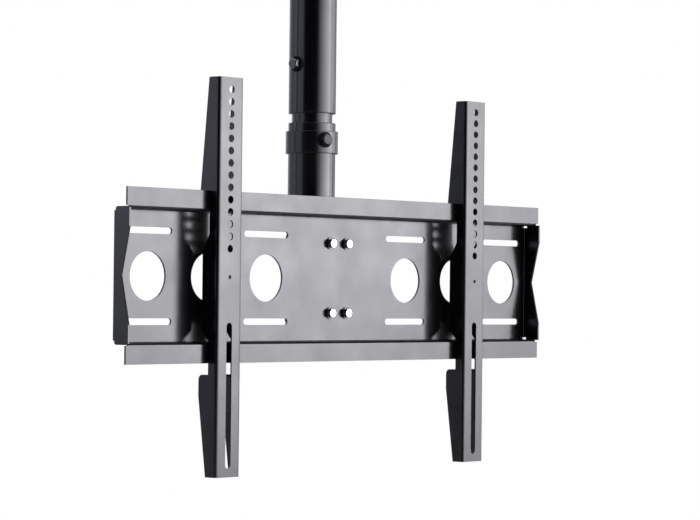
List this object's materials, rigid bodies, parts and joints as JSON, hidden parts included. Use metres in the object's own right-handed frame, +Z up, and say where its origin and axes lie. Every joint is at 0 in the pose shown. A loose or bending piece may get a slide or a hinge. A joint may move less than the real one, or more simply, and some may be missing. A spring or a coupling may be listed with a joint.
{
  "type": "television ceiling mount",
  "caption": "Telescopic ceiling pole with a swivelling, tilting folded steel plate and two sliding hook-on screen arms.",
  "frame": {"origin": "middle of the face that lies on the ceiling, on the pole's axis", "axes": "+Z up along the pole, -Y towards the viewer of the screen, +X to that viewer's right"},
  "size_m": [0.77, 0.162, 0.7765],
  "materials": {
    "black_coat": "semi-gloss black powder coat",
    "black_bolt": "black coated steel",
    "bright_bolt": "bright plated steel",
    "zinc_steel": "zinc plated steel",
    "black_plastic": "matt black plastic"
  },
  "bodies": {
    "ceiling": {"ceiling_plate": "black_coat", "upper_tube": "black_coat", "guide_bush": "black_plastic", "height_lock_boss": "black_coat", "height_lock_bolt": "black_bolt"},
    "pole": {"drop_tube": "black_coat", "glide_ring": "black_plastic", "retaining_ring": "zinc_steel"},
    "head": {"lower_tube": "black_coat", "swivel_bush": "black_plastic", "swivel_collar": "black_coat", "swivel_lock_boss": "black_coat", "swivel_lock_bolt": "black_bolt", "tilt_pivot_bolt": "black_bolt", "tilt_pivot_washer_left": "black_bolt", "tilt_pivot_washer_right": "black_bolt", "tilt_pivot_nut": "black_bolt", "tilt_lock_bolt": "black_bolt", "tilt_lock_washer_left": "black_bolt", "tilt_lock_washer_right": "black_bolt", "tilt_lock_nut": "black_bolt"},
    "screen_plate": {"tilt_bracket": "black_coat", "mounting_plate": "black_coat", "plate_bolts": "bright_bolt", "plate_washers": "bright_bolt", "plate_spring_washers": "bright_bolt", "plate_nuts": "zinc_steel"},
    "left_arm": {"left_arm": "black_coat"},
    "right_arm": {"right_arm": "black_coat"}
  },
  "joints": [
    {"name": "height", "type": "slide", "parent": "ceiling", "child": "pole", "axis": [0, 0, 1], "range_m": [-0.13, 0.01]},
    {"name": "swivel", "type": "hinge", "parent": "pole", "child": "head", "pos_m": [0, 0, -0.388], "axis": [0, 0, 1], "continuous": true},
    {"name": "tilt", "type": "hinge", "parent": "head", "child": "screen_plate", "pos_m": [0, 0, -0.516], "axis": [1, 0, 0], "range_deg": [-5, 15]},
    {"name": "left_arm_slide", "type": "slide", "parent": "screen_plate", "child": "left_arm", "axis": [1, 0, 0], "range_m": [-0.129, 0.18]},
    {"name": "right_arm_slide", "type": "slide", "parent": "screen_plate", "child": "right_arm", "axis": [1, 0, 0], "range_m": [-0.18, 0.129]}
  ]
}
